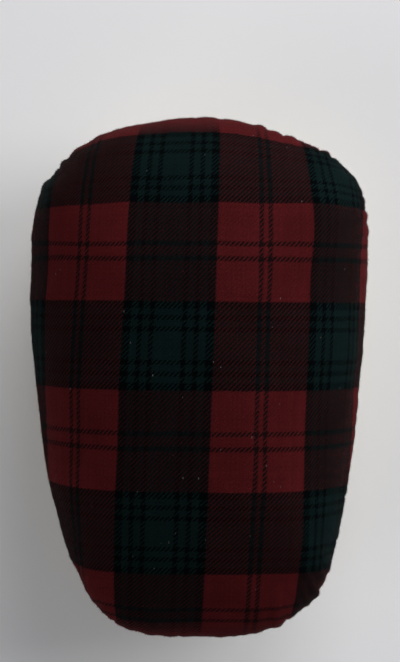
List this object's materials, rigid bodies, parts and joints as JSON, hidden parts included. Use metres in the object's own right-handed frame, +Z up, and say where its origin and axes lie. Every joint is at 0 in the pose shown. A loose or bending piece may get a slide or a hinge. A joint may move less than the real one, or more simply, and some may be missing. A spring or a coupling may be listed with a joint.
{
  "type": "tailor's ham",
  "caption": "Firm stuffed pressing cushion, ham-shaped and domed, with a tartan wool side for steam pressing and a plain cotton side to rest on.",
  "frame": {"origin": "middle of the footprint, on the face that the ham rests on", "axes": "+Z up from the cotton side to the wool crown, +Y to the wide end, +X across"},
  "size_m": [0.1768, 0.2738, 0.108],
  "materials": {
    "wool_tartan": "brushed twill wool in a red, green and dark tartan",
    "cotton_drill": "undyed cotton drill",
    "muslin": "close plain-woven cotton",
    "sawdust": "hard-packed sawdust",
    "dark_thread": "spun sewing thread",
    "pale_thread": "spun sewing thread"
  },
  "bodies": {
    "root": {"wool_top_cover": "wool_tartan", "cotton_base_cover": "cotton_drill", "top_lining": "muslin", "base_lining": "muslin", "sawdust_filling": "sawdust", "needle_thread": "dark_thread", "bobbin_thread": "pale_thread", "closing_stitch": "dark_thread"}
  },
  "joints": []
}
